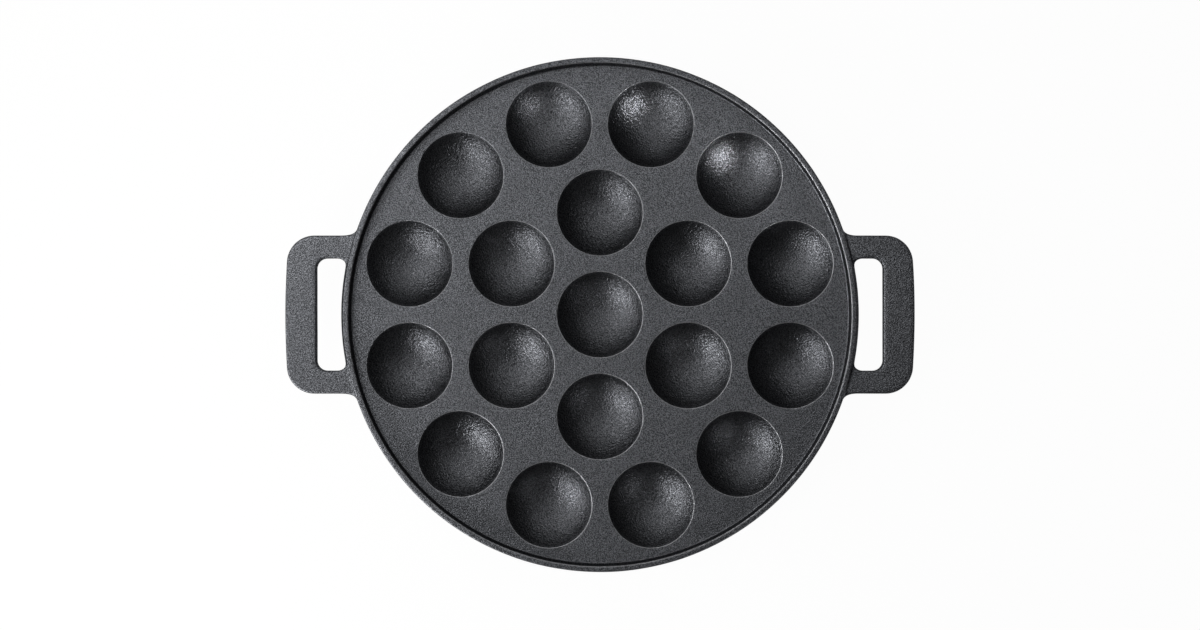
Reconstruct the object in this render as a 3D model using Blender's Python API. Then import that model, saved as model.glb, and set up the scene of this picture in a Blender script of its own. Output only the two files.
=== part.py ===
"""Cast iron poffertjes pan: a thick round plate with nineteen shallow cups, a raised
rim, a skirt that it stands on, and two loop handles.

The pan is one iron casting. Each loop is a node of its own from a flat parting plane
outwards, and meets the pan's handle roots face to face there. Metres, +Z up, the
handles along X, and the origin on the standing plane under the middle cup."""

import math

import bmesh
import bpy
from mathutils import Matrix

# Cups
CUP_RADIUS = 0.0221
CUP_DEPTH = 0.0115
CUP_LIP_RADIUS = 0.0005
CUP_WALL = 0.0033
CUP_WEB = 0.0076
DOME_FILLET = 0.0012
DOME_CLEARANCE = 0.0027

# Plate and rim
PLATE_THICKNESS = 0.004
PLATE_MARGIN = 0.0078
RIM_RISE = 0.007
RIM_WIDTH = 0.0031
RIM_DRAFT = math.radians(3)
RIM_FILLET = 0.0014
RIM_INNER_ROUND = 0.0008
RIM_OUTER_ROUND = 0.0008
RIM_BAND_HEIGHT = 0.0095

# Skirt
SKIRT_TAPER = 0.0012
SKIRT_DRAFT = 0.0004
SKIRT_FILLET = 0.001
FOOT_WIDTH = 0.0034
FOOT_ROUND = 0.0004

# Handles
HANDLE_PROJECTION = 0.0292
HANDLE_LENGTH = 0.080
HANDLE_THICKNESS = 0.006
HANDLE_DROP = 0.002
HANDLE_EDGE_ROUND = 0.001
HANDLE_CORNER = 0.014
GRIP_WIDTH = 0.0158
GRIP_BOW_RADIUS = 0.440
SLOT_LENGTH = 0.0568
SLOT_CORNER = 0.0052
LEDGE_REACH = 0.001
ROOT_FILLET = 0.010
ROOT_SINK = 0.0022
ROOT_OVERLAP = 0.0003
PARTING_OFFSET = 0.004

# Fineness of the round forms
RIM_SEGMENTS = 72
CUP_SEGMENTS = 20
DOME_SEGMENTS = 14
BOWL_STEPS = 3
DOME_STEPS = 3
FILLET_STEPS = 3
CORNER_STEPS = 5
LEDGE_STEPS = 4
DOME_FILLET_STEPS = 1
ROUND_STEPS = 2
SMOOTH_UNDER = math.radians(33)
SAME_POINT = 1e-7

# Finish
IRON_COLOUR = (0.1, 0.102, 0.106, 1.0)
IRON_METALLIC = 0.9
IRON_ROUGHNESS = 0.5

# Directions in a section or in plan, as angles
RIGHT = 0
UP = math.pi / 2
LEFT = math.pi
DOWN = -math.pi / 2

# Heights and radii that follow from the sizes above
CUP_PITCH = 2 * CUP_RADIUS + CUP_WEB
OUTER_RING_RADIUS = CUP_PITCH / (2 * math.sin(math.pi / 12))
RIM_RADIUS = OUTER_RING_RADIUS + CUP_RADIUS + PLATE_MARGIN
PLATE_TOP = DOME_CLEARANCE + CUP_WALL + CUP_DEPTH
PLATE_UNDERSIDE = PLATE_TOP - PLATE_THICKNESS
RIM_TOP = PLATE_TOP + RIM_RISE
HANDLE_TOP = RIM_TOP - HANDLE_DROP
PARTING_X = RIM_RADIUS + PARTING_OFFSET
BOWL_RADIUS = (CUP_RADIUS**2 + CUP_DEPTH**2) / (2 * CUP_DEPTH) - CUP_LIP_RADIUS
BOWL_CENTRE = PLATE_TOP - CUP_DEPTH + BOWL_RADIUS


def clear_scene():
    for thing in list(bpy.data.objects):
        bpy.data.objects.remove(thing)


def cast_iron():
    """Matt, dark grey, lightly seasoned iron."""
    material = bpy.data.materials.new("cast_iron")
    material.use_nodes = True
    shader = material.node_tree.nodes["Principled BSDF"]
    shader.inputs["Base Color"].default_value = IRON_COLOUR
    shader.inputs["Metallic"].default_value = IRON_METALLIC
    shader.inputs["Roughness"].default_value = IRON_ROUGHNESS
    material.diffuse_color = IRON_COLOUR
    return material


def arc(centre, radius, start, end, steps):
    """Points along an arc in a plane, its two ends among them."""
    angles = [start + (end - start) * step / steps for step in range(steps + 1)]
    return [
        (centre[0] + radius * math.cos(angle), centre[1] + radius * math.sin(angle))
        for angle in angles
    ]


def turned(profile, segments):
    """A bmesh turned about Z from (radius, height) points that run from axis to axis."""
    shape = bmesh.new()
    points = [shape.verts.new((radius, 0, height)) for radius, height in profile]
    edges = [shape.edges.new(ends) for ends in zip(points, points[1:])]
    bmesh.ops.spin(
        shape,
        geom=points + edges,
        cent=(0, 0, 0),
        axis=(0, 0, 1),
        angle=math.tau,
        steps=segments,
        use_merge=True,
    )
    bmesh.ops.remove_doubles(shape, verts=shape.verts, dist=SAME_POINT)
    bmesh.ops.recalc_face_normals(shape, faces=shape.faces)
    return shape


def mesh_of(name, shape, places=(Matrix.Identity(4),)):
    """A mesh that holds one copy of the bmesh at each of the places."""
    single = bpy.data.meshes.new(name)
    shape.to_mesh(single)
    shape.free()
    copies = bmesh.new()
    for place in places:
        first = len(copies.verts)
        copies.from_mesh(single)
        copies.verts.ensure_lookup_table()
        bmesh.ops.transform(copies, matrix=place, verts=copies.verts[first:])
    copies.to_mesh(single)
    copies.free()
    return single


def placed(name, mesh, parent=None):
    thing = bpy.data.objects.new(name, mesh)
    thing.parent = parent
    bpy.context.scene.collection.objects.link(thing)
    return thing


def helper(name, mesh):
    """A cutter or a blank: only a Boolean uses it, and it is removed afterwards."""
    thing = placed(name, mesh)
    thing.hide_render = True
    thing.display_type = "WIRE"
    return thing


def combine(thing, operation, tool):
    """Unites the object with the tool, or cuts it, and removes the tool."""
    modifier = thing.modifiers.new(tool.name, "BOOLEAN")
    modifier.operation = operation
    modifier.object = tool
    bpy.context.view_layer.update()
    graph = bpy.context.evaluated_depsgraph_get()
    result = bpy.data.meshes.new_from_object(thing.evaluated_get(graph))
    thing.modifiers.clear()
    thing.data = result
    bpy.data.objects.remove(tool)


def finish_surface(mesh, material):
    """Smooth shading, broken only where the casting has a real edge."""
    mesh.shade_smooth()
    mesh.set_sharp_from_angle(angle=SMOOTH_UNDER)
    mesh.materials.clear()
    mesh.materials.append(material)


def cup_places():
    """The middle cup, six about it and twelve about those, all one pitch apart."""
    places = [Matrix.Identity(4)]
    rings = (
        (6, CUP_PITCH, math.radians(30)),
        (12, OUTER_RING_RADIUS, math.radians(15)),
    )
    for count, radius, start in rings:
        for number in range(count):
            turn = Matrix.Rotation(start + math.tau * number / count, 4, "Z")
            places.append(turn @ Matrix.Translation((radius, 0, 0)))
    return places


def cup_profile():
    """The hollow of a cup: a round bowl, its lip rolled over onto the plate's top."""
    side = math.asin(CUP_RADIUS / (BOWL_RADIUS + CUP_LIP_RADIUS))
    lip_centre = (CUP_RADIUS, PLATE_TOP - CUP_LIP_RADIUS)
    lip = arc(lip_centre, CUP_LIP_RADIUS, UP, UP + side, ROUND_STEPS)
    bowl = arc((0, BOWL_CENTRE), BOWL_RADIUS, DOWN + side, DOWN, BOWL_STEPS)
    above = RIM_TOP + RIM_RISE
    return [(0, above), (CUP_RADIUS, above), *lip, *bowl[1:-1], (0, bowl[-1][1])]


def dome_profile():
    """The back of a cup, concentric with its bowl and filleted into the plate."""
    radius = BOWL_RADIUS + CUP_WALL
    reach = radius + DOME_FILLET
    rise = BOWL_CENTRE - PLATE_UNDERSIDE + DOME_FILLET
    foot = math.sqrt(reach**2 - rise**2)
    side = math.atan2(foot, rise)
    fillet_centre = (foot, PLATE_UNDERSIDE - DOME_FILLET)
    fillet = arc(fillet_centre, DOME_FILLET, UP, UP + side, DOME_FILLET_STEPS)
    dome = arc((0, BOWL_CENTRE), radius, DOWN + side, DOWN, DOME_STEPS)
    inside = (PLATE_TOP + PLATE_UNDERSIDE) / 2
    return [(0, inside), (foot, inside), *fillet, *dome[1:-1], (0, dome[-1][1])]


def rim_profile():
    """The inner side of the rim, its top and its outer corner, from the plate outwards."""
    inner = RIM_RADIUS - RIM_WIDTH
    lean = math.sin(RIM_DRAFT)
    upright = math.cos(RIM_DRAFT)
    fillet_radius = inner - (RIM_FILLET + (RIM_RISE - RIM_FILLET) * lean) / upright
    fillet_centre = (fillet_radius, PLATE_TOP + RIM_FILLET)
    inner_radius = inner + RIM_INNER_ROUND * (1 - lean) / upright
    inner_centre = (inner_radius, RIM_TOP - RIM_INNER_ROUND)
    outer_centre = (RIM_RADIUS - RIM_OUTER_ROUND, RIM_TOP - RIM_OUTER_ROUND)
    return [
        *arc(fillet_centre, RIM_FILLET, DOWN, -RIM_DRAFT, FILLET_STEPS),
        *arc(inner_centre, RIM_INNER_ROUND, LEFT - RIM_DRAFT, UP, ROUND_STEPS),
        *arc(outer_centre, RIM_OUTER_ROUND, UP, RIGHT, ROUND_STEPS),
    ]


def skirt_profile():
    """The outer side of the skirt, its foot and its inner side, from the band inwards."""
    foot_outer = RIM_RADIUS - SKIRT_TAPER
    foot_inner = foot_outer - FOOT_WIDTH
    top_inner = foot_inner - SKIRT_DRAFT
    fillet_centre = (top_inner - SKIRT_FILLET, PLATE_UNDERSIDE - SKIRT_FILLET)
    return [
        (RIM_RADIUS, RIM_TOP - RIM_BAND_HEIGHT),
        (foot_outer, FOOT_ROUND),
        (foot_outer - FOOT_ROUND, 0),
        (foot_inner + FOOT_ROUND, 0),
        (foot_inner, FOOT_ROUND),
        *arc(fillet_centre, SKIRT_FILLET, RIGHT, UP, ROUND_STEPS),
    ]


def loop_outline():
    """Half of the loop in plan, from the middle of the grip's outer edge round to the
    middle of its inner edge. The legs run into the pan's wall, and between them the
    loop goes on as a low ledge along the wall."""
    half_length = HANDLE_LENGTH / 2
    tip = RIM_RADIUS + HANDLE_PROJECTION
    slot_edge = tip - GRIP_WIDTH
    wall = RIM_RADIUS - ROOT_OVERLAP
    sunk = RIM_RADIUS - ROOT_SINK
    ledge = RIM_RADIUS + LEDGE_REACH

    bow_x = tip - GRIP_BOW_RADIUS
    corner_reach = GRIP_BOW_RADIUS - HANDLE_CORNER
    corner_y = half_length - HANDLE_CORNER
    bow_angle = math.asin(corner_y / corner_reach)
    corner_centre = (bow_x + corner_reach * math.cos(bow_angle), corner_y)

    outer_y = half_length + ROOT_FILLET
    outer_centre = (math.sqrt((wall + ROOT_FILLET) ** 2 - outer_y**2), outer_y)
    outer_end = math.asin(outer_y / (wall + ROOT_FILLET))

    slot_y = SLOT_LENGTH / 2 - SLOT_CORNER
    inner_centre = (math.sqrt((ledge + SLOT_CORNER) ** 2 - slot_y**2), slot_y)
    inner_end = math.asin(slot_y / (ledge + SLOT_CORNER))
    slot_centre = (slot_edge - SLOT_CORNER, slot_y)

    return [
        *arc((bow_x, 0), GRIP_BOW_RADIUS, RIGHT, bow_angle, ROUND_STEPS)[:-1],
        *arc(corner_centre, HANDLE_CORNER, bow_angle, UP, CORNER_STEPS),
        *arc(outer_centre, ROOT_FILLET, DOWN, outer_end - LEFT, CORNER_STEPS),
        *arc((0, 0), sunk, outer_end, RIGHT, LEDGE_STEPS),
        *arc((0, 0), ledge, RIGHT, inner_end, LEDGE_STEPS)[:-1],
        *arc(inner_centre, SLOT_CORNER, LEFT + inner_end, UP, CORNER_STEPS),
        *arc(slot_centre, SLOT_CORNER, UP, RIGHT, CORNER_STEPS),
        (slot_edge, 0),
    ]


def loop_slab():
    """The whole loop of the +X side with its slot, its upper and lower edges rounded."""
    shape = bmesh.new()
    low = HANDLE_TOP - HANDLE_THICKNESS
    shape.faces.new([shape.verts.new((x, y, low)) for x, y in loop_outline()])
    half = shape.verts[:] + shape.edges[:] + shape.faces[:]
    bmesh.ops.mirror(shape, geom=half, axis="Y", merge_dist=SAME_POINT)
    raised = bmesh.ops.extrude_face_region(shape, geom=shape.faces[:])["geom"]
    lifted = [item for item in raised if isinstance(item, bmesh.types.BMVert)]
    bmesh.ops.translate(shape, verts=lifted, vec=(0, 0, HANDLE_THICKNESS))
    bmesh.ops.recalc_face_normals(shape, faces=shape.faces)
    brinks = [
        edge
        for edge in shape.edges
        if edge.verts[0].co.z == edge.verts[1].co.z and edge.calc_face_angle() > 1
    ]
    bmesh.ops.bevel(
        shape,
        geom=brinks,
        offset=HANDLE_EDGE_ROUND,
        segments=ROUND_STEPS,
        profile=0.5,
        affect="EDGES",
    )
    return shape


def parted(shape, outer):
    """The part of the slab beyond the parting plane, or the part inside it, closed."""
    cut = bmesh.ops.bisect_plane(
        shape,
        geom=shape.verts[:] + shape.edges[:] + shape.faces[:],
        plane_co=(PARTING_X, 0, 0),
        plane_no=(1, 0, 0),
        clear_inner=outer,
        clear_outer=not outer,
    )["geom_cut"]
    for item in cut:
        if isinstance(item, bmesh.types.BMVert):
            item.co.x = PARTING_X
    rim = [edge for edge in shape.edges if edge.is_boundary]
    bmesh.ops.holes_fill(shape, edges=rim, sides=0)
    bmesh.ops.recalc_face_normals(shape, faces=shape.faces)
    return shape


def pan_body(parent, material):
    """The plate with its cups, the rim, the skirt and the four handle roots."""
    section = [
        (0, PLATE_TOP),
        *rim_profile(),
        *skirt_profile(),
        (0, PLATE_UNDERSIDE),
    ]
    body = placed("pan_body", mesh_of("pan_body", turned(section, RIM_SEGMENTS)), parent)
    domes = turned(dome_profile(), DOME_SEGMENTS)
    combine(body, "UNION", helper("cup_domes", mesh_of("cup_domes", domes, cup_places())))
    both_sides = (Matrix.Identity(4), Matrix.Rotation(math.pi, 4, "Z"))
    roots = mesh_of("handle_roots", parted(loop_slab(), outer=False), both_sides)
    combine(body, "UNION", helper("handle_roots", roots))
    cups = turned(cup_profile(), CUP_SEGMENTS)
    combine(
        body, "DIFFERENCE", helper("cup_hollows", mesh_of("cup_hollows", cups, cup_places()))
    )
    finish_surface(body.data, material)
    return body


def handles(parent, material):
    """The two loops, alike, half a turn apart about the middle of the pan."""
    loop = mesh_of("handle_loop", parted(loop_slab(), outer=True))
    finish_surface(loop, material)
    for name, turn in (("right_handle", 0), ("left_handle", math.pi)):
        handle = placed(name, loop, parent)
        handle.rotation_euler = (0, 0, turn)


def main():
    clear_scene()
    pan = placed("poffertjes_pan", None)
    iron = cast_iron()
    pan_body(pan, iron)
    handles(pan, iron)
    bpy.context.view_layer.update()


main()
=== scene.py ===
import math

import bmesh
import bpy
import numpy as np
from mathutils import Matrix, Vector, noise
from mathutils.geometry import delaunay_2d_cdt


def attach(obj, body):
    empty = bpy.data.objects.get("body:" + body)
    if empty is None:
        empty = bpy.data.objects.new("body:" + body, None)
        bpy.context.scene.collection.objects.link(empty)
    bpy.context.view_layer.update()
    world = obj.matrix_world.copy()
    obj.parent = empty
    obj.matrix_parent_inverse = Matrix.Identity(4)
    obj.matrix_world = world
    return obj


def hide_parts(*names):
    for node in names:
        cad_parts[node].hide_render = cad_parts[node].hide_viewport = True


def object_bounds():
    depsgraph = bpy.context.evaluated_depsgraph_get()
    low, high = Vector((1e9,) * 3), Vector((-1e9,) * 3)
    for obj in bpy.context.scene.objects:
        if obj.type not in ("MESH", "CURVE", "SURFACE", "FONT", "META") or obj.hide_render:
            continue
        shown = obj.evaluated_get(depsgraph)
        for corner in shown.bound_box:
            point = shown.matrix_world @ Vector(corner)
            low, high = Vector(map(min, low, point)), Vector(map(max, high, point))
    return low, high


# The pan as one seamless iron casting, with its table, its lamps and the camera
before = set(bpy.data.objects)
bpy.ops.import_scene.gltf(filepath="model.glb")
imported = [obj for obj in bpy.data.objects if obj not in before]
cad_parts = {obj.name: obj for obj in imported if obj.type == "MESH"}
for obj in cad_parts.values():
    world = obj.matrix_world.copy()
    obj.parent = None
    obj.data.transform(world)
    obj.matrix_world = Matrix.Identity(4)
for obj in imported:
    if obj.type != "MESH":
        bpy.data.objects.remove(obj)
cad_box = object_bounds()

# Overall sizes, in metres to the hundredth of a millimetre, from the frame
HANDLE_TIP, RIM_RADIUS, RIM_TOP = (round(side, 5) for side in cad_box[1])

# The cups, in metres, as in the CAD source
CUP_RADIUS = 0.0221
CUP_DEPTH = 0.0115
CUP_LIP = 0.0005
CUP_WALL = 0.0033
CUP_WEB = 0.0076
DOME_FILLET = 0.0012

# The plate, the rim and the skirt, in metres, as in the CAD source
PLATE_THICKNESS = 0.004
RIM_RISE = 0.007
RIM_WIDTH = 0.0031
RIM_DRAFT = math.radians(3)
RIM_INNER_ROUND = 0.0008
RIM_OUTER_ROUND = 0.0008
RIM_BAND_HEIGHT = 0.0095
SKIRT_TAPER = 0.0012
SKIRT_DRAFT = 0.0004
SKIRT_FILLET = 0.001
FOOT_WIDTH = 0.0034
FOOT_ROUND = 0.0004

# The handles, in metres, as in the CAD source
HANDLE_LENGTH = 0.080
HANDLE_THICKNESS = 0.006
HANDLE_DROP = 0.002
HANDLE_EDGE = 0.001
HANDLE_CORNER = 0.014
GRIP_WIDTH = 0.0158
GRIP_BOW = 0.440
SLOT_LENGTH = 0.0568
SLOT_CORNER = 0.0052
LEDGE_REACH = 0.001
ROOT_FILLET = 0.010

# Finer than in the CAD source: the rim's fillet, how far the rim's top falls to its outside,
# the crease where a loop leaves the wall, and how the ledge between the legs fades out
RIM_FILLET = 0.0008
RIM_FALL = 0.00008
CREASE = 0.0008
LEDGE_HALF = 0.034
LEDGE_END = 0.006
LEDGE_FADE = 0.005
LEDGE_SLACK = 0.0002

# Places worked out from the sizes
PLATE_TOP = RIM_TOP - RIM_RISE
PLATE_UNDERSIDE = PLATE_TOP - PLATE_THICKNESS
BAND_FOOT = RIM_TOP - RIM_BAND_HEIGHT
HANDLE_HALF = HANDLE_LENGTH / 2
HANDLE_TOP = RIM_TOP - HANDLE_DROP
HANDLE_LOW = HANDLE_TOP - HANDLE_THICKNESS
SLOT_HALF = SLOT_LENGTH / 2
CUP_PITCH = 2 * CUP_RADIUS + CUP_WEB
OUTER_RING = CUP_PITCH / (2 * math.sin(math.pi / 12))
BOWL_RADIUS = (CUP_RADIUS**2 + CUP_DEPTH**2) / (2 * CUP_DEPTH) - CUP_LIP
BOWL_CENTRE = PLATE_TOP - CUP_DEPTH + BOWL_RADIUS

# Each ring of cups: how many, how far out, and the angle of the first, in degrees
CUP_RINGS = ((6, CUP_PITCH, 30), (12, OUTER_RING, 15))

# Heights of the rows of points on the wall, above and below the handles, and on the skirt
WALL_TOP = 0.0234
WALL_FOOT = 0.0155
SKIRT_ROWS = (0.0125, 0.0095, 0.0065, 0.0035, 0.0015)

# Directions in a section or an outline
RIGHT = 0.0
UP = math.pi / 2
LEFT = math.pi
DOWN = -math.pi / 2

# How many points lie round the rim, and how many columns a handle's patch of wall spans each way
RIM_COUNT = 288
PATCH_SPAN = 19

# How many steps an arc or a straight stretch has
LIP_STEPS = 6
BOWL_STEPS = 13
DOME_FILLET_STEPS = 3
DOME_STEPS = 8
RIM_FILLET_STEPS = 7
RIM_INNER_STEPS = 4
RIM_OUTER_STEPS = 5
FOOT_STEPS = 3
SKIRT_FILLET_STEPS = 4
ROOT_STEPS = 12
CORNER_STEPS = 14
GRIP_STEPS = 11
EDGE_STEPS = 4
ACROSS_STEPS = 7
THIRDS = (1 / 3, 2 / 3)
QUARTERS = (0.25, 0.5, 0.75)

# How many points lie round a cup or a dome, how far apart those between them are, in metres,
# and how far those keep from the edges
CUP_FINENESS = (64, 0.0023, 0.0012)
DOME_FINENESS = (40, 0.003, 0.0015)

# How far apart the points on the handles' patches of wall are, how far they keep from the edges,
# and how near two points have to be to count as one
WALL_SPACING = 0.0011
WALL_MARGIN = 0.0006
SAME_POINT = 1e-9

# The waves of a sand casting: their length and depth, and where each begins in the noise,
# times a share along each axis
WAVES = ((0.022, 5e-5, 11.0), (0.009, 3e-5, 47.0), (0.004, 1.2e-5, 83.0))
WAVE_SHIFT = (1.0, 0.7, 0.3)

# How sharply the surface bends, per metre, where an edge begins to be coloured bright and where it
# is fully so, and the share of that on the outer edge of the rim and on the handles.
# The bright edges are partly wear and partly a painted highlight.
WORN_FROM = 350.0
WORN_FULL = 650.0
OUTER_WEAR = 0.2

# Painted highlight on the bright edges, stronger toward the front right of the pan: its share in the
# middle, its gain with each metre to the right or the front, and its least
MIDDLE_HIGHLIGHT = 0.85
HIGHLIGHT_GAIN = 3.5
LEAST_HIGHLIGHT = 0.2

# How far below the plate a cup's darker colour begins, over what depth it grows to full,
# and how far up the surface has to face
CUP_MARK_BELOW = 0.0003
CUP_MARK_OVER = 0.0012
CUP_MARK_FACING = 0.1

# The iron's shine
METALLIC = 0.95
SPECULAR_TINT = (0.2, 0.2, 0.2, 1)

# Its colours
BARE_DARK = (0.042, 0.0435, 0.0475, 1)
BARE_LIGHT = (0.162, 0.167, 0.18, 1)
BARE_CLOUD = (0.074, 0.0755, 0.0805, 1)
# The cups' insides, coloured darker than the plate
CUP_DARK = (0.041, 0.042, 0.0455, 1)
CUP_LIGHT = (0.104, 0.107, 0.115, 1)
PIT_COLOUR = (0.02, 0.02, 0.022, 1)
# Bright iron for the specks, and for the edges, which are partly wear and partly a painted highlight
RUBBED_AND_HIGHLIGHT_COLOUR = (0.3, 0.303, 0.315, 1)

# Its textures, each by its scale, detail and roughness, and how deep two of them are, in metres
GRAIN = (1500.0, 1.0, 0.6)
PEBBLES = (1050.0, 1.0, 0.6)
TINT = (2100.0, 0.0, 0.5)
PITS = (900.0, 0.0, 0.5)
CLOUDS = (70.0, 3.0, 0.55)
SPECKS = (1300.0, 0.0, 0.5)
GRAIN_DEPTH = 0.00025
PEBBLE_DEPTH = 0.00029

# Ramps: two levels of a texture or a mark, and the share or the roughness at each
TINT_SPREAD = (0.4, 0.6, 0.0, 1.0)
CLOUD_SHARE = (0.3, 0.7, 0.0, 0.25)
PIT_SHARE = (0.2, 0.33, 0.75, 0.0)
SPECK_SHARE = (0.8, 0.9, 0.0, 0.8)
WEAR_AND_HIGHLIGHT_SHARE = (0.0, 1.0, 0.0, 0.8)
CLOUD_ROUGHNESS = (0.3, 0.7, 0.37, 0.43)
WORN_GLOSS = (0.0, 1.0, 0.0, 0.06)
CUP_GLOSS = (0.0, 1.0, 0.0, 0.08)

# The table: half its width, how far below the foot it lies, how much of it glows, and its looks
FLOOR_REACH = 20.0
FLOOR_DROP = 0.0004
FLOOR_GLOW = 0.97
FLOOR_COLOUR = (0.8, 0.8, 0.8, 1)
FLOOR_ROUGHNESS = 0.9

# Each softbox: azimuth and elevation in degrees, distance and sides in metres, and watts.
# The watts were set by comparing renders with the photograph.
LAMPS = (
    ("over_left", 180, 66, 0.90, (0.30, 0.30), 0.98),
    ("over_front", -145, 72, 0.90, (0.30, 0.30), 0.29),
    ("high_back", 140, 60, 0.60, (0.20, 0.20), 0.27),
    ("high_right", 30, 70, 0.60, (0.20, 0.20), 0.29),
    ("back_right", 60, 60, 0.45, (0.15, 0.15), 0.07),
    ("back", 95, 36, 0.40, (0.20, 0.15), 0.15),
    ("side_back", 150, 38, 0.38, (0.15, 0.15), 0.28),
    ("west", -172, 22, 0.80, (0.30, 0.20), 1.75),
    ("key", -141, 24, 0.70, (0.16, 0.13), 1.52),
    ("key_near", -138, 27, 0.50, (0.12, 0.10), 0.48),
    ("key_south", -128, 24, 0.80, (0.30, 0.20), 0.80),
)

# Each spot: azimuth and elevation in degrees, distance and aim in metres, beam in degrees, watts
AIM_HEIGHT = 0.0095
SPOTS = (
    ("spot_right", -45, 31, 0.50, (0.061, 0.079, AIM_HEIGHT), 3.9, 15.5),
    ("spot_middle", -45, 31, 0.50, (0.017, 0.106, AIM_HEIGHT), 3.9, 11.5),
    ("spot_left", -45, 31, 0.50, (-0.035, 0.106, AIM_HEIGHT), 3.9, 4.5),
    ("spot_low", -47, 31, 0.60, (0.040, -0.088, AIM_HEIGHT), 18, 1.6),
    ("spot_far", -142, 38, 0.60, (0.094, 0.056, AIM_HEIGHT), 8, 4.2),
)
SPOT_SIZE = 0.01
WORLD_LIGHT = 0.052

# The camera: its height above the rim, the width that it sees there, its place to the front,
# and its sensor in millimetres
CAMERA_HEIGHT = 1.0
CAMERA_WIDTH = 0.6051
CAMERA_FRONT = 0.0002
SENSOR = 36.0


class Shell:
    """The points and faces of one closed surface, gathered ring by ring."""

    def __init__(self):
        self.points = []
        self.faces = []

    def add(self, points):
        first = len(self.points)
        self.points.extend(points)
        return list(range(first, len(self.points)))

    def ring(self, radius, height, count, centre=(0.0, 0.0)):
        turns = [math.tau / count * i for i in range(count)]
        return self.add(
            [
                (centre[0] + radius * math.cos(turn), centre[1] + radius * math.sin(turn), height)
                for turn in turns
            ]
        )

    def bridge(self, one, two, skip=()):
        """Faces between two rings, apart from the columns to skip."""
        for i in range(len(one)):
            if i not in skip:
                j = (i + 1) % len(one)
                self.faces.append((one[i], one[j], two[j], two[i]))

    def bridge_all(self, rings, skip=()):
        for one, two in zip(rings, rings[1:]):
            self.bridge(one, two, skip)

    def bowl(self, section, centre, bottom, count):
        """A round hollow or dome, from its section and its lowest point; gives its first ring."""
        rings = [self.ring(radius, height, count, centre) for radius, height in section]
        self.bridge_all(rings)
        tip = self.add([(*centre, bottom)])[0]
        last = rings[-1]
        for i in range(count):
            self.faces.append((last[i], last[(i + 1) % count], tip))
        return rings[0]

    def fill(self, loops, flat, extra, lift):
        """Triangles between an outer loop and the holes in it, by way of extra points."""
        coords = [Vector(flat(i)) for loop in loops for i in loop]
        owner = [number for number, loop in enumerate(loops) for _ in loop]
        index = [i for loop in loops for i in loop]
        edges = []
        first = 0
        for loop in loops:
            count = len(loop)
            edges += [(first + i, first + (i + 1) % count) for i in range(count)]
            first += count
        fresh = self.add([lift(x, y) for x, y in extra])
        coords += [Vector(point) for point in extra]
        owner += [-1] * len(extra)
        index += fresh
        _, _, faces, source, _, _ = delaunay_2d_cdt(coords, edges, [], 0, SAME_POINT)
        origin = [numbers[0] for numbers in source]
        for face in faces:
            corners = [origin[i] for i in face]
            owners = {owner[i] for i in corners}
            in_a_hole = len(owners) == 1 and owners.pop() > 0
            if not in_a_hole:
                self.faces.append(tuple(index[i] for i in corners))


def arc(centre, radius, start, end, steps):
    angles = [start + (end - start) * step / steps for step in range(steps + 1)]
    return [
        (centre[0] + radius * math.cos(a), centre[1] + radius * math.sin(a)) for a in angles
    ]


def cup_centres():
    centres = [(0.0, 0.0)]
    for count, radius, start in CUP_RINGS:
        for number in range(count):
            turn = math.radians(start) + math.tau * number / count
            centres.append((radius * math.cos(turn), radius * math.sin(turn)))
    return centres


def lattice(radius, holes, hole_radius, spacing, margin):
    """Points of a triangular lattice inside a circle and clear of the round holes."""
    found = []
    rows = int(radius / spacing) + 2
    for row in range(-rows, rows + 1):
        y = row * spacing * math.sqrt(3) / 2
        for column in range(-rows * 2, rows * 2 + 1):
            x = (column + 0.5 * (row % 2)) * spacing
            if math.hypot(x, y) > radius - margin:
                continue
            if any(math.hypot(x - a, y - b) < hole_radius + margin for a, b in holes):
                continue
            found.append((x, y))
    return found


def cup_section():
    """A cup from its rolled lip down to just short of its lowest point."""
    side = math.asin(CUP_RADIUS / (BOWL_RADIUS + CUP_LIP))
    lip = arc((CUP_RADIUS, PLATE_TOP - CUP_LIP), CUP_LIP, UP, UP + side, LIP_STEPS)
    bowl = arc((0.0, BOWL_CENTRE), BOWL_RADIUS, DOWN + side, DOWN, BOWL_STEPS)
    return lip + bowl[1:-1]


def dome_section():
    """The back of a cup, from its fillet below the plate to just short of its lowest point."""
    radius = BOWL_RADIUS + CUP_WALL
    reach = radius + DOME_FILLET
    rise = BOWL_CENTRE - PLATE_UNDERSIDE + DOME_FILLET
    foot = math.sqrt(reach**2 - rise**2)
    side = math.atan2(foot, rise)
    centre = (foot, PLATE_UNDERSIDE - DOME_FILLET)
    fillet = arc(centre, DOME_FILLET, UP, UP + side, DOME_FILLET_STEPS)
    dome = arc((0.0, BOWL_CENTRE), radius, DOWN + side, DOWN, DOME_STEPS)
    return fillet + dome[1:-1]


def rim_section():
    """The rim from the plate outwards and down to where the handles begin."""
    inner = RIM_RADIUS - RIM_WIDTH
    lean, upright = math.sin(RIM_DRAFT), math.cos(RIM_DRAFT)
    rise = RIM_TOP - PLATE_TOP
    fillet_radius = inner - (RIM_FILLET + (rise - RIM_FILLET) * lean) / upright
    fillet_centre = (fillet_radius, PLATE_TOP + RIM_FILLET)
    inner_radius = inner + RIM_INNER_ROUND * (1 - lean) / upright
    inner_centre = (inner_radius, RIM_TOP - RIM_INNER_ROUND)
    outer_radius = RIM_RADIUS - RIM_OUTER_ROUND
    outer_centre = (outer_radius, RIM_TOP - RIM_FALL - RIM_OUTER_ROUND)
    return [
        *arc(fillet_centre, RIM_FILLET, DOWN, -RIM_DRAFT, RIM_FILLET_STEPS),
        *arc(inner_centre, RIM_INNER_ROUND, LEFT - RIM_DRAFT, UP, RIM_INNER_STEPS),
        ((inner_radius + RIM_RADIUS - RIM_OUTER_ROUND) / 2, RIM_TOP),
        *arc(outer_centre, RIM_OUTER_ROUND, UP, RIGHT, RIM_OUTER_STEPS),
    ]


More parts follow.
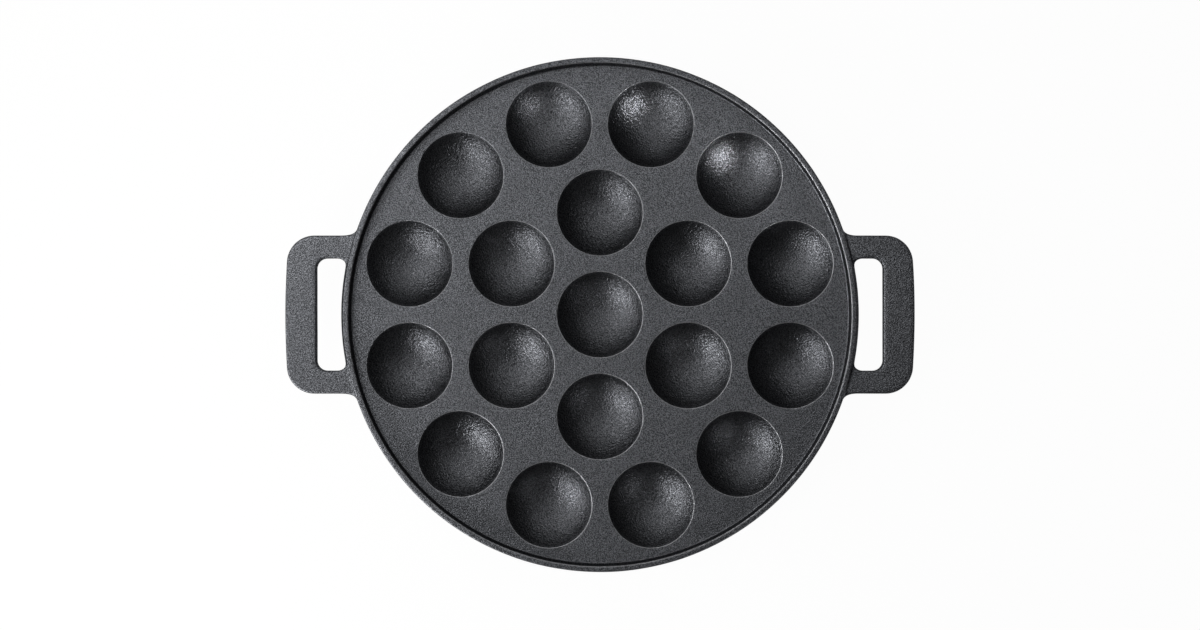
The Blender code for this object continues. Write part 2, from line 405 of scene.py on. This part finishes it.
def skirt_section():
    """The skirt from below the handles to its foot and up its inner side."""
    foot_outer = RIM_RADIUS - SKIRT_TAPER
    foot_inner = foot_outer - FOOT_WIDTH
    top_inner = foot_inner - SKIRT_DRAFT
    top = PLATE_UNDERSIDE - SKIRT_FILLET
    outside = [(RIM_RADIUS - SKIRT_TAPER * (BAND_FOOT - z) / BAND_FOOT, z) for z in SKIRT_ROWS]
    inside = [
        (foot_inner - SKIRT_DRAFT * share, FOOT_ROUND + (top - FOOT_ROUND) * share)
        for share in QUARTERS
    ]
    return [
        *outside,
        *arc((foot_outer - FOOT_ROUND, FOOT_ROUND), FOOT_ROUND, RIGHT, DOWN, FOOT_STEPS),
        *arc((foot_inner + FOOT_ROUND, FOOT_ROUND), FOOT_ROUND, DOWN, -LEFT, FOOT_STEPS),
        *inside,
        *arc((top_inner - SKIRT_FILLET, top), SKIRT_FILLET, RIGHT, UP, SKIRT_FILLET_STEPS),
    ]


def root_rails():
    """The two fillets of a leg's root, outside and in the slot, from the wall outwards."""
    rails = []
    for fillet, y, half_turn, end in (
        (ROOT_FILLET, HANDLE_HALF + ROOT_FILLET, -LEFT, DOWN),
        (SLOT_CORNER, SLOT_HALF - SLOT_CORNER, LEFT, UP),
    ):
        reach = RIM_RADIUS + fillet
        centre = (math.sqrt(reach**2 - y**2), y)
        start = math.asin(y / reach) + half_turn
        rails.append(arc(centre, fillet, start, end, ROOT_STEPS))
    return rails


def loop_rails():
    """Pairs of points on the outer outline and on the slot, from the wall to mid-grip."""
    outer, inner = root_rails()
    pairs = list(zip(outer, inner))
    bulge = [math.cos(UP * step / ROOT_STEPS) ** 2 for step in range(ROOT_STEPS + 1)]

    slot_y = SLOT_HALF - SLOT_CORNER
    corner_y = HANDLE_HALF - HANDLE_CORNER
    reach = GRIP_BOW - HANDLE_CORNER
    bow_turn = math.asin(corner_y / reach)
    bow_x = HANDLE_TIP - GRIP_BOW
    corner_centre = (bow_x + reach * math.cos(bow_turn), corner_y)
    slot_centre = (HANDLE_TIP - GRIP_WIDTH - SLOT_CORNER, slot_y)
    outer = arc(corner_centre, HANDLE_CORNER, UP, bow_turn, CORNER_STEPS)
    inner = arc(slot_centre, SLOT_CORNER, UP, RIGHT, CORNER_STEPS)
    last = pairs[-1]
    for share in QUARTERS:
        pairs.append(
            tuple(
                tuple(a + (b - a) * share for a, b in zip(start, end))
                for start, end in zip(last, (outer[0], inner[0]))
            )
        )
    pairs += list(zip(outer, inner))
    grip = arc((bow_x, 0), GRIP_BOW, bow_turn, RIGHT, GRIP_STEPS)
    slot_x = inner[-1][0]
    for step in range(1, GRIP_STEPS + 1):
        pairs.append((grip[step], (slot_x, slot_y * (1 - step / GRIP_STEPS))))
    bulge += [0.0] * (len(pairs) - len(bulge))
    return pairs, bulge


def loop_outline(width):
    """The rounded outline of a loop's section: distances from its outer side, and heights."""
    edge, top, low = HANDLE_EDGE, HANDLE_TOP, HANDLE_LOW
    across = [edge + (width - 2 * edge) * k / ACROSS_STEPS for k in range(1, ACROSS_STEPS)]
    side = top - low - 2 * edge
    return [
        *arc((edge, top - edge), edge, LEFT, UP, EDGE_STEPS),
        *[(a, top) for a in across],
        *arc((width - edge, top - edge), edge, UP, RIGHT, EDGE_STEPS),
        *[(width, top - edge - side * share) for share in THIRDS],
        *arc((width - edge, low + edge), edge, RIGHT, DOWN, EDGE_STEPS),
        *[(a, low) for a in reversed(across)],
        *arc((edge, low + edge), edge, DOWN, -LEFT, EDGE_STEPS),
        *[(0.0, low + edge + side * share) for share in THIRDS],
    ]


def loop_section(outer, inner, bulge):
    """One section of the loop, from its outer side over the top and back below."""
    width = math.dist(outer, inner)
    middle = (HANDLE_TOP + HANDLE_LOW) / 2
    section = []
    for a, z in loop_outline(width):
        x = outer[0] + (inner[0] - outer[0]) * a / width
        y = outer[1] + (inner[1] - outer[1]) * a / width
        radius = math.hypot(x, y)
        wanted = radius + (RIM_RADIUS - radius) * bulge
        x, y = x * wanted / radius, y * wanted / radius
        depth = max(wanted - RIM_RADIUS, 0.0)
        if depth < CREASE:
            rise = CREASE - math.sqrt(CREASE**2 - (CREASE - depth) ** 2)
            z += rise * (z - middle) / (HANDLE_TOP - middle)
        section.append((x, y, z))
    return section


def ledge(x, y, z):
    """How far the low ledge between a loop's legs stands out from the wall here."""
    radius = math.hypot(x, y)
    along = RIM_RADIUS * math.asin(min(1.0, abs(y) / radius))
    ends = min(1.0, max(0.0, (LEDGE_HALF - along) / LEDGE_END))
    middle = (HANDLE_TOP + HANDLE_LOW) / 2
    flat = (HANDLE_TOP - HANDLE_LOW) / 2 - HANDLE_EDGE
    over = max(0.0, abs(z - middle) - flat) / (HANDLE_EDGE + LEDGE_SLACK)
    round_off = math.sqrt(max(0.0, 1.0 - over**2))
    fall = max(0.0, 1.0 - (radius - RIM_RADIUS) / LEDGE_FADE)
    return LEDGE_REACH * ends * ends * (3 - 2 * ends) * round_off * fall


def loop(shell, side):
    """One handle: its sections from wall to wall, joined up, and its two end rings."""
    pairs, bulge = loop_rails()
    half = [loop_section(*pair, weight) for pair, weight in zip(pairs, bulge)]
    other = [[(x, -y, z) for x, y, z in section] for section in reversed(half[:-1])]
    rings = []
    for section in half + other:
        moved = []
        for x, y, z in section:
            radius = math.hypot(x, y)
            grown = (radius + ledge(x, y, z)) / radius
            moved.append((x * grown * side, y * grown * side, z))
        rings.append(shell.add(moved))
    shell.bridge_all(rings)
    return rings[0], rings[-1]


def wall_points(holes):
    """Rows of points on the wall, laid flat, clear of the patch's ends and of the legs."""
    boxes = []
    for hole in holes:
        along, heights = zip(*hole)
        boxes.append((min(along), max(along), min(heights), max(heights)))
    half_span = RIM_RADIUS * math.tau * PATCH_SPAN / RIM_COUNT
    count = int(half_span / WALL_SPACING)
    levels = int((WALL_TOP - WALL_FOOT) / WALL_SPACING)
    found = []
    for level in range(1, levels):
        z = WALL_FOOT + (WALL_TOP - WALL_FOOT) * level / levels
        for column in range(-count, count + 1):
            s = (column + 0.5 * (level % 2)) * WALL_SPACING
            in_a_leg = any(
                left - WALL_MARGIN < s < right + WALL_MARGIN
                and low - WALL_MARGIN < z < high + WALL_MARGIN
                for left, right, low, high in boxes
            )
            if abs(s) <= half_span - WALL_MARGIN and not in_a_leg:
                found.append((s, z))
    return found


def patch(shell, rows, middle, side):
    """The stretch of wall that a handle grows out of, and the handle itself."""
    span = [(middle + i) % RIM_COUNT for i in range(-PATCH_SPAN, PATCH_SPAN + 1)]
    between = rows[1:-1]
    border = [rows[0][i] for i in span]
    border += [row[span[-1]] for row in between]
    border += [rows[-1][i] for i in reversed(span)]
    border += [row[span[0]] for row in reversed(between)]

    def flat(i):
        x, y, z = shell.points[i]
        return (RIM_RADIUS * math.atan2(y * side, x * side), z)

    def lift(s, z):
        x = RIM_RADIUS * math.cos(s / RIM_RADIUS)
        y = RIM_RADIUS * math.sin(s / RIM_RADIUS)
        out = 1 + ledge(x, y, z) / RIM_RADIUS
        return (x * out * side, y * out * side, z)

    ends = loop(shell, side)
    holes = [[flat(i) for i in ring] for ring in ends]
    shell.fill([border, *ends], flat, wall_points(holes), lift)


def wall(shell, upper, lower):
    """The rim's outer wall between two rings, with both handles grown out of it."""
    sides = ((0, 1), (RIM_COUNT // 2, -1))
    columns = range(-PATCH_SPAN, PATCH_SPAN)
    patched = {(middle + i) % RIM_COUNT for middle, _ in sides for i in columns}
    inside = {i for i in patched if (i - 1) % RIM_COUNT in patched}
    rows = [upper]
    for share in THIRDS:
        z = WALL_TOP + (WALL_FOOT - WALL_TOP) * share
        row = [None] * RIM_COUNT
        for i in range(RIM_COUNT):
            if i not in inside:
                turn = math.tau / RIM_COUNT * i
                point = (RIM_RADIUS * math.cos(turn), RIM_RADIUS * math.sin(turn), z)
                row[i] = shell.add([point])[0]
        rows.append(row)
    rows.append(lower)
    shell.bridge_all(rows, patched)
    for middle, side in sides:
        patch(shell, rows, middle, side)


def cupped(shell, outline, height, section, bottom, fineness):
    """One side of the plate inside its outline, with the cups or their domes let into it."""
    count, spacing, margin = fineness
    centres = cup_centres()
    edges = [shell.bowl(section, centre, bottom, count) for centre in centres]

    def flat(i):
        return shell.points[i][:2]

    def lift(x, y):
        return (x, y, height)

    radius = math.dist(flat(outline[0]), (0, 0))
    extra = lattice(radius, centres, section[0][0], spacing, margin)
    shell.fill([outline, *edges], flat, extra, lift)


def casting():
    """The whole pan as one closed surface."""
    shell = Shell()
    rim = [shell.ring(r, z, RIM_COUNT) for r, z in rim_section()]
    wall_top = shell.ring(RIM_RADIUS, WALL_TOP, RIM_COUNT)
    wall_foot = shell.ring(RIM_RADIUS, WALL_FOOT, RIM_COUNT)
    band_foot = shell.ring(RIM_RADIUS, BAND_FOOT, RIM_COUNT)
    skirt = [shell.ring(r, z, RIM_COUNT) for r, z in skirt_section()]
    shell.bridge_all([*rim, wall_top])
    wall(shell, wall_top, wall_foot)
    shell.bridge_all([wall_foot, band_foot, *skirt])

    cupped(shell, rim[0], PLATE_TOP, cup_section(), PLATE_TOP - CUP_DEPTH, CUP_FINENESS)
    dome_bottom = BOWL_CENTRE - (BOWL_RADIUS + CUP_WALL)
    cupped(shell, skirt[-1], PLATE_UNDERSIDE, dome_section(), dome_bottom, DOME_FINENESS)
    return shell


def mesh_of(name, shell):
    mesh = bpy.data.meshes.new(name)
    mesh.from_pydata(shell.points, [], shell.faces)
    solid = bmesh.new()
    solid.from_mesh(mesh)
    bmesh.ops.recalc_face_normals(solid, faces=solid.faces)
    solid.to_mesh(mesh)
    solid.free()
    mesh.shade_smooth()
    return mesh


def surface(mesh):
    """The places and the normals of the mesh's points."""
    found = []
    for values, field in ((mesh.vertices, "co"), (mesh.vertex_normals, "vector")):
        flat = np.zeros(len(mesh.vertices) * 3, np.float32)
        values.foreach_get(field, flat)
        found.append(flat.reshape(-1, 3).astype(float))
    return found


def unevenness(mesh):
    """The slight waves and dents that sand leaves in a casting."""
    points, normals = surface(mesh)
    offsets = np.zeros(len(points))
    for length, depth, begin in WAVES:
        shift = Vector([begin * share for share in WAVE_SHIFT])
        offsets += depth * np.array([noise.noise(Vector(p) / length + shift) for p in points])
    points += normals * offsets[:, None]
    low, high = (np.array(corner, float) for corner in cad_box)
    points = np.clip(points, low, high)
    mesh.vertices.foreach_set("co", points.astype(np.float32).ravel())
    mesh.update()


def edge_bends(mesh, points, normals):
    """How sharply the surface bends at each point, per metre, as the mean along its edges."""
    ends = np.zeros(len(mesh.edges) * 2, np.int32)
    mesh.edges.foreach_get("vertices", ends)
    one, two = ends.reshape(-1, 2).T
    along = points[two] - points[one]
    bend = ((normals[two] - normals[one]) * along).sum(1) / (along**2).sum(1)
    total, number = np.zeros(len(points)), np.zeros(len(points))
    for end in (one, two):
        np.add.at(total, end, bend)
        np.add.at(number, end, 1.0)
    return total / number


def marks(mesh):
    """Marks where sharp edges are coloured bright, partly as wear and partly as a painted highlight
    stronger toward the front right, and where the cups are coloured darker.
    """
    points, normals = surface(mesh)
    bends = edge_bends(mesh, points, normals)
    wear_and_highlight = np.clip((bends - WORN_FROM) / (WORN_FULL - WORN_FROM), 0, 1)
    radius = np.hypot(points[:, 0], points[:, 1])
    wear_and_highlight *= np.where(radius > RIM_RADIUS - RIM_OUTER_ROUND, OUTER_WEAR, 1.0)
    # Painted highlight: the bright edges are made stronger toward the front right of the pan
    front_right = points[:, 0] - points[:, 1]
    wear_and_highlight *= np.clip(MIDDLE_HIGHLIGHT + HIGHLIGHT_GAIN * front_right, LEAST_HIGHLIGHT, 1)
    inside = radius < RIM_RADIUS - RIM_WIDTH
    below = np.clip((PLATE_TOP - CUP_MARK_BELOW - points[:, 2]) / CUP_MARK_OVER, 0, 1)
    cup = below * inside * (normals[:, 2] > CUP_MARK_FACING)
    for name, values in (("wear_and_highlight", wear_and_highlight), ("cup", cup)):
        attribute = mesh.attributes.new(name, "FLOAT", "POINT")
        attribute.data.foreach_set("value", values.astype(np.float32))


class Looks:
    """A material, whose nodes are made and linked by short calls."""

    def __init__(self, name):
        self.material = bpy.data.materials.new(name)
        self.material.use_nodes = True
        self.tree = self.material.node_tree
        self.shader = self.tree.nodes["Principled BSDF"]

    def node(self, kind, inputs, **settings):
        """The outputs of a new node, each of whose inputs is a value or another's output."""
        node = self.tree.nodes.new(kind)
        for name, value in settings.items():
            setattr(node, name, value)
        for socket, value in inputs.items():
            if isinstance(value, bpy.types.NodeSocket):
                self.tree.links.new(value, node.inputs[socket])
            else:
                node.inputs[socket].default_value = value
        return node.outputs

    def texture(self, place, scale, detail, roughness):
        values = {"Vector": place, "Scale": scale, "Detail": detail, "Roughness": roughness}
        return self.node("ShaderNodeTexNoise", values)["Fac"]

    def ramp(self, source, low, high, start, end):
        values = {"Value": source, "From Min": low, "From Max": high, "To Min": start, "To Max": end}
        return self.node("ShaderNodeMapRange", values)["Result"]

    def blend(self, factor, first, second):
        values = {"Factor": factor, "A": first, "B": second}
        return self.node("ShaderNodeMix", values, data_type="RGBA")["Result"]

    def marked(self, name):
        return self.node("ShaderNodeAttribute", {}, attribute_name=name)["Fac"]

    def reckon(self, operation, one, two):
        return self.node("ShaderNodeMath", {0: one, 1: two}, operation=operation)["Value"]

    def bump(self, height, distance, **others):
        values = {"Height": height, "Distance": distance, "Strength": 1.0, **others}
        return self.node("ShaderNodeBump", values)["Normal"]

    def use(self, socket, source):
        self.tree.links.new(source, self.shader.inputs[socket])


def cast_iron():
    """Matt dark iron with a sand-cast grain, darker pebbled cups, and edges coloured bright, partly
    as wear and partly as a painted highlight.
    """
    looks = Looks("cast_iron")
    looks.shader.inputs["Metallic"].default_value = METALLIC
    looks.shader.inputs["Specular Tint"].default_value = SPECULAR_TINT
    ramp, blend, reckon = looks.ramp, looks.blend, looks.reckon
    place = looks.node("ShaderNodeTexCoord", {})["Object"]
    textures = [looks.texture(place, *kind) for kind in (GRAIN, PEBBLES, TINT, PITS, CLOUDS, SPECKS)]
    grain, pebbles, tint, pits, clouds, specks = textures
    wear_and_highlight, cup = looks.marked("wear_and_highlight"), looks.marked("cup")

    spread = ramp(tint, *TINT_SPREAD)
    bare = blend(spread, BARE_DARK, BARE_LIGHT)
    bare = blend(ramp(clouds, *CLOUD_SHARE), bare, BARE_CLOUD)
    # The cups' insides are coloured darker than the plate
    cup_colour = blend(spread, CUP_DARK, CUP_LIGHT)
    iron = blend(cup, bare, cup_colour)
    iron = blend(reckon("MULTIPLY", ramp(pits, *PIT_SHARE), cup), iron, PIT_COLOUR)
    iron = blend(ramp(specks, *SPECK_SHARE), iron, RUBBED_AND_HIGHLIGHT_COLOUR)
    # Bright edges: partly wear, partly a painted highlight stronger toward the front right
    iron = blend(ramp(wear_and_highlight, *WEAR_AND_HIGHLIGHT_SHARE), iron, RUBBED_AND_HIGHLIGHT_COLOUR)
    looks.use("Base Color", iron)

    sheen = reckon("SUBTRACT", ramp(clouds, *CLOUD_ROUGHNESS), ramp(wear_and_highlight, *WORN_GLOSS))
    sheen = reckon("SUBTRACT", sheen, ramp(cup, *CUP_GLOSS))
    looks.use("Roughness", sheen)

    coarse = looks.bump(pebbles, PEBBLE_DEPTH, Strength=cup)
    looks.use("Normal", looks.bump(grain, GRAIN_DEPTH, Normal=coarse))
    return looks.material


def floor_material():
    """White where it is looked at or mirrored, with a faint shadow of the pan left on it."""
    looks = Looks("white_table")
    looks.shader.inputs["Base Color"].default_value = FLOOR_COLOUR
    looks.shader.inputs["Roughness"].default_value = FLOOR_ROUGHNESS
    glow = looks.node("ShaderNodeEmission", {"Strength": 1.0})["Emission"]
    path = looks.node("ShaderNodeLightPath", {})
    mirrored = looks.reckon("MAXIMUM", path["Is Glossy Ray"], path["Is Transmission Ray"])
    seen = looks.reckon("MAXIMUM", path["Is Camera Ray"], mirrored)
    share = looks.reckon("MULTIPLY", seen, FLOOR_GLOW)
    parts = {"Fac": share, 1: looks.shader.outputs["BSDF"], 2: glow}
    mix = looks.node("ShaderNodeMixShader", parts)["Shader"]
    looks.tree.links.new(mix, looks.tree.nodes["Material Output"].inputs["Surface"])
    return looks.material


def stage():
    mesh = bpy.data.meshes.new("floor")
    r = FLOOR_REACH
    mesh.from_pydata([(-r, -r, 0), (r, -r, 0), (r, r, 0), (-r, r, 0)], [], [(0, 1, 2, 3)])
    floor = bpy.data.objects.new("floor", mesh)
    floor.location.z = -FLOOR_DROP
    bpy.context.scene.collection.objects.link(floor)
    mesh.materials.append(floor_material())


def hang(data, azimuth, elevation, distance, aim=(0.0, 0.0, 0.0)):
    """Hangs a lamp in a direction and at a distance from the point it faces."""
    lamp = bpy.data.objects.new(data.name, data)
    turn, rise = math.radians(azimuth), math.radians(elevation)
    flat = distance * math.cos(rise)
    way = Vector((flat * math.cos(turn), flat * math.sin(turn), distance * math.sin(rise)))
    lamp.location = Vector(aim) + way
    lamp.rotation_euler = (-way).to_track_quat("-Z", "Y").to_euler()
    lamp.visible_camera = False
    bpy.context.scene.collection.objects.link(lamp)


def softbox(name, azimuth, elevation, distance, size, power):
    data = bpy.data.lights.new(name, "AREA")
    data.shape = "RECTANGLE"
    data.size, data.size_y = size
    data.energy = power
    hang(data, azimuth, elevation, distance)


def spot(name, azimuth, elevation, distance, aim, beam, power):
    data = bpy.data.lights.new(name, "SPOT")
    data.spot_size = math.radians(beam)
    data.spot_blend = 1.0
    data.shadow_soft_size = SPOT_SIZE
    data.energy = power
    hang(data, azimuth, elevation, distance, aim)


def lights():
    for lamp in LAMPS:
        softbox(*lamp)
    for lamp in SPOTS:
        spot(*lamp)
    world = bpy.data.worlds.new("studio")
    world.use_nodes = True
    background = world.node_tree.nodes["Background"]
    background.inputs["Color"].default_value = (1, 1, 1, 1)
    background.inputs["Strength"].default_value = WORLD_LIGHT
    bpy.context.scene.world = world


def camera():
    """Straight above the pan, about a metre away."""
    data = bpy.data.cameras.new("camera")
    data.sensor_width = SENSOR
    data.lens = SENSOR * CAMERA_HEIGHT / CAMERA_WIDTH
    eye = bpy.data.objects.new("camera", data)
    eye.location = (0.0, -CAMERA_FRONT, RIM_TOP + CAMERA_HEIGHT)
    bpy.context.scene.collection.objects.link(eye)
    bpy.context.scene.camera = eye


def main():
    camera()
    mesh = mesh_of("pan_casting", casting())
    unevenness(mesh)
    marks(mesh)
    pan = bpy.data.objects.new("pan_casting", mesh)
    bpy.context.scene.collection.objects.link(pan)
    mesh.materials.append(cast_iron())
    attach(pan, "root")
    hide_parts("pan_body", "left_handle", "right_handle")
    stage()
    lights()
    bpy.context.scene.view_settings.view_transform = "Standard"


main()
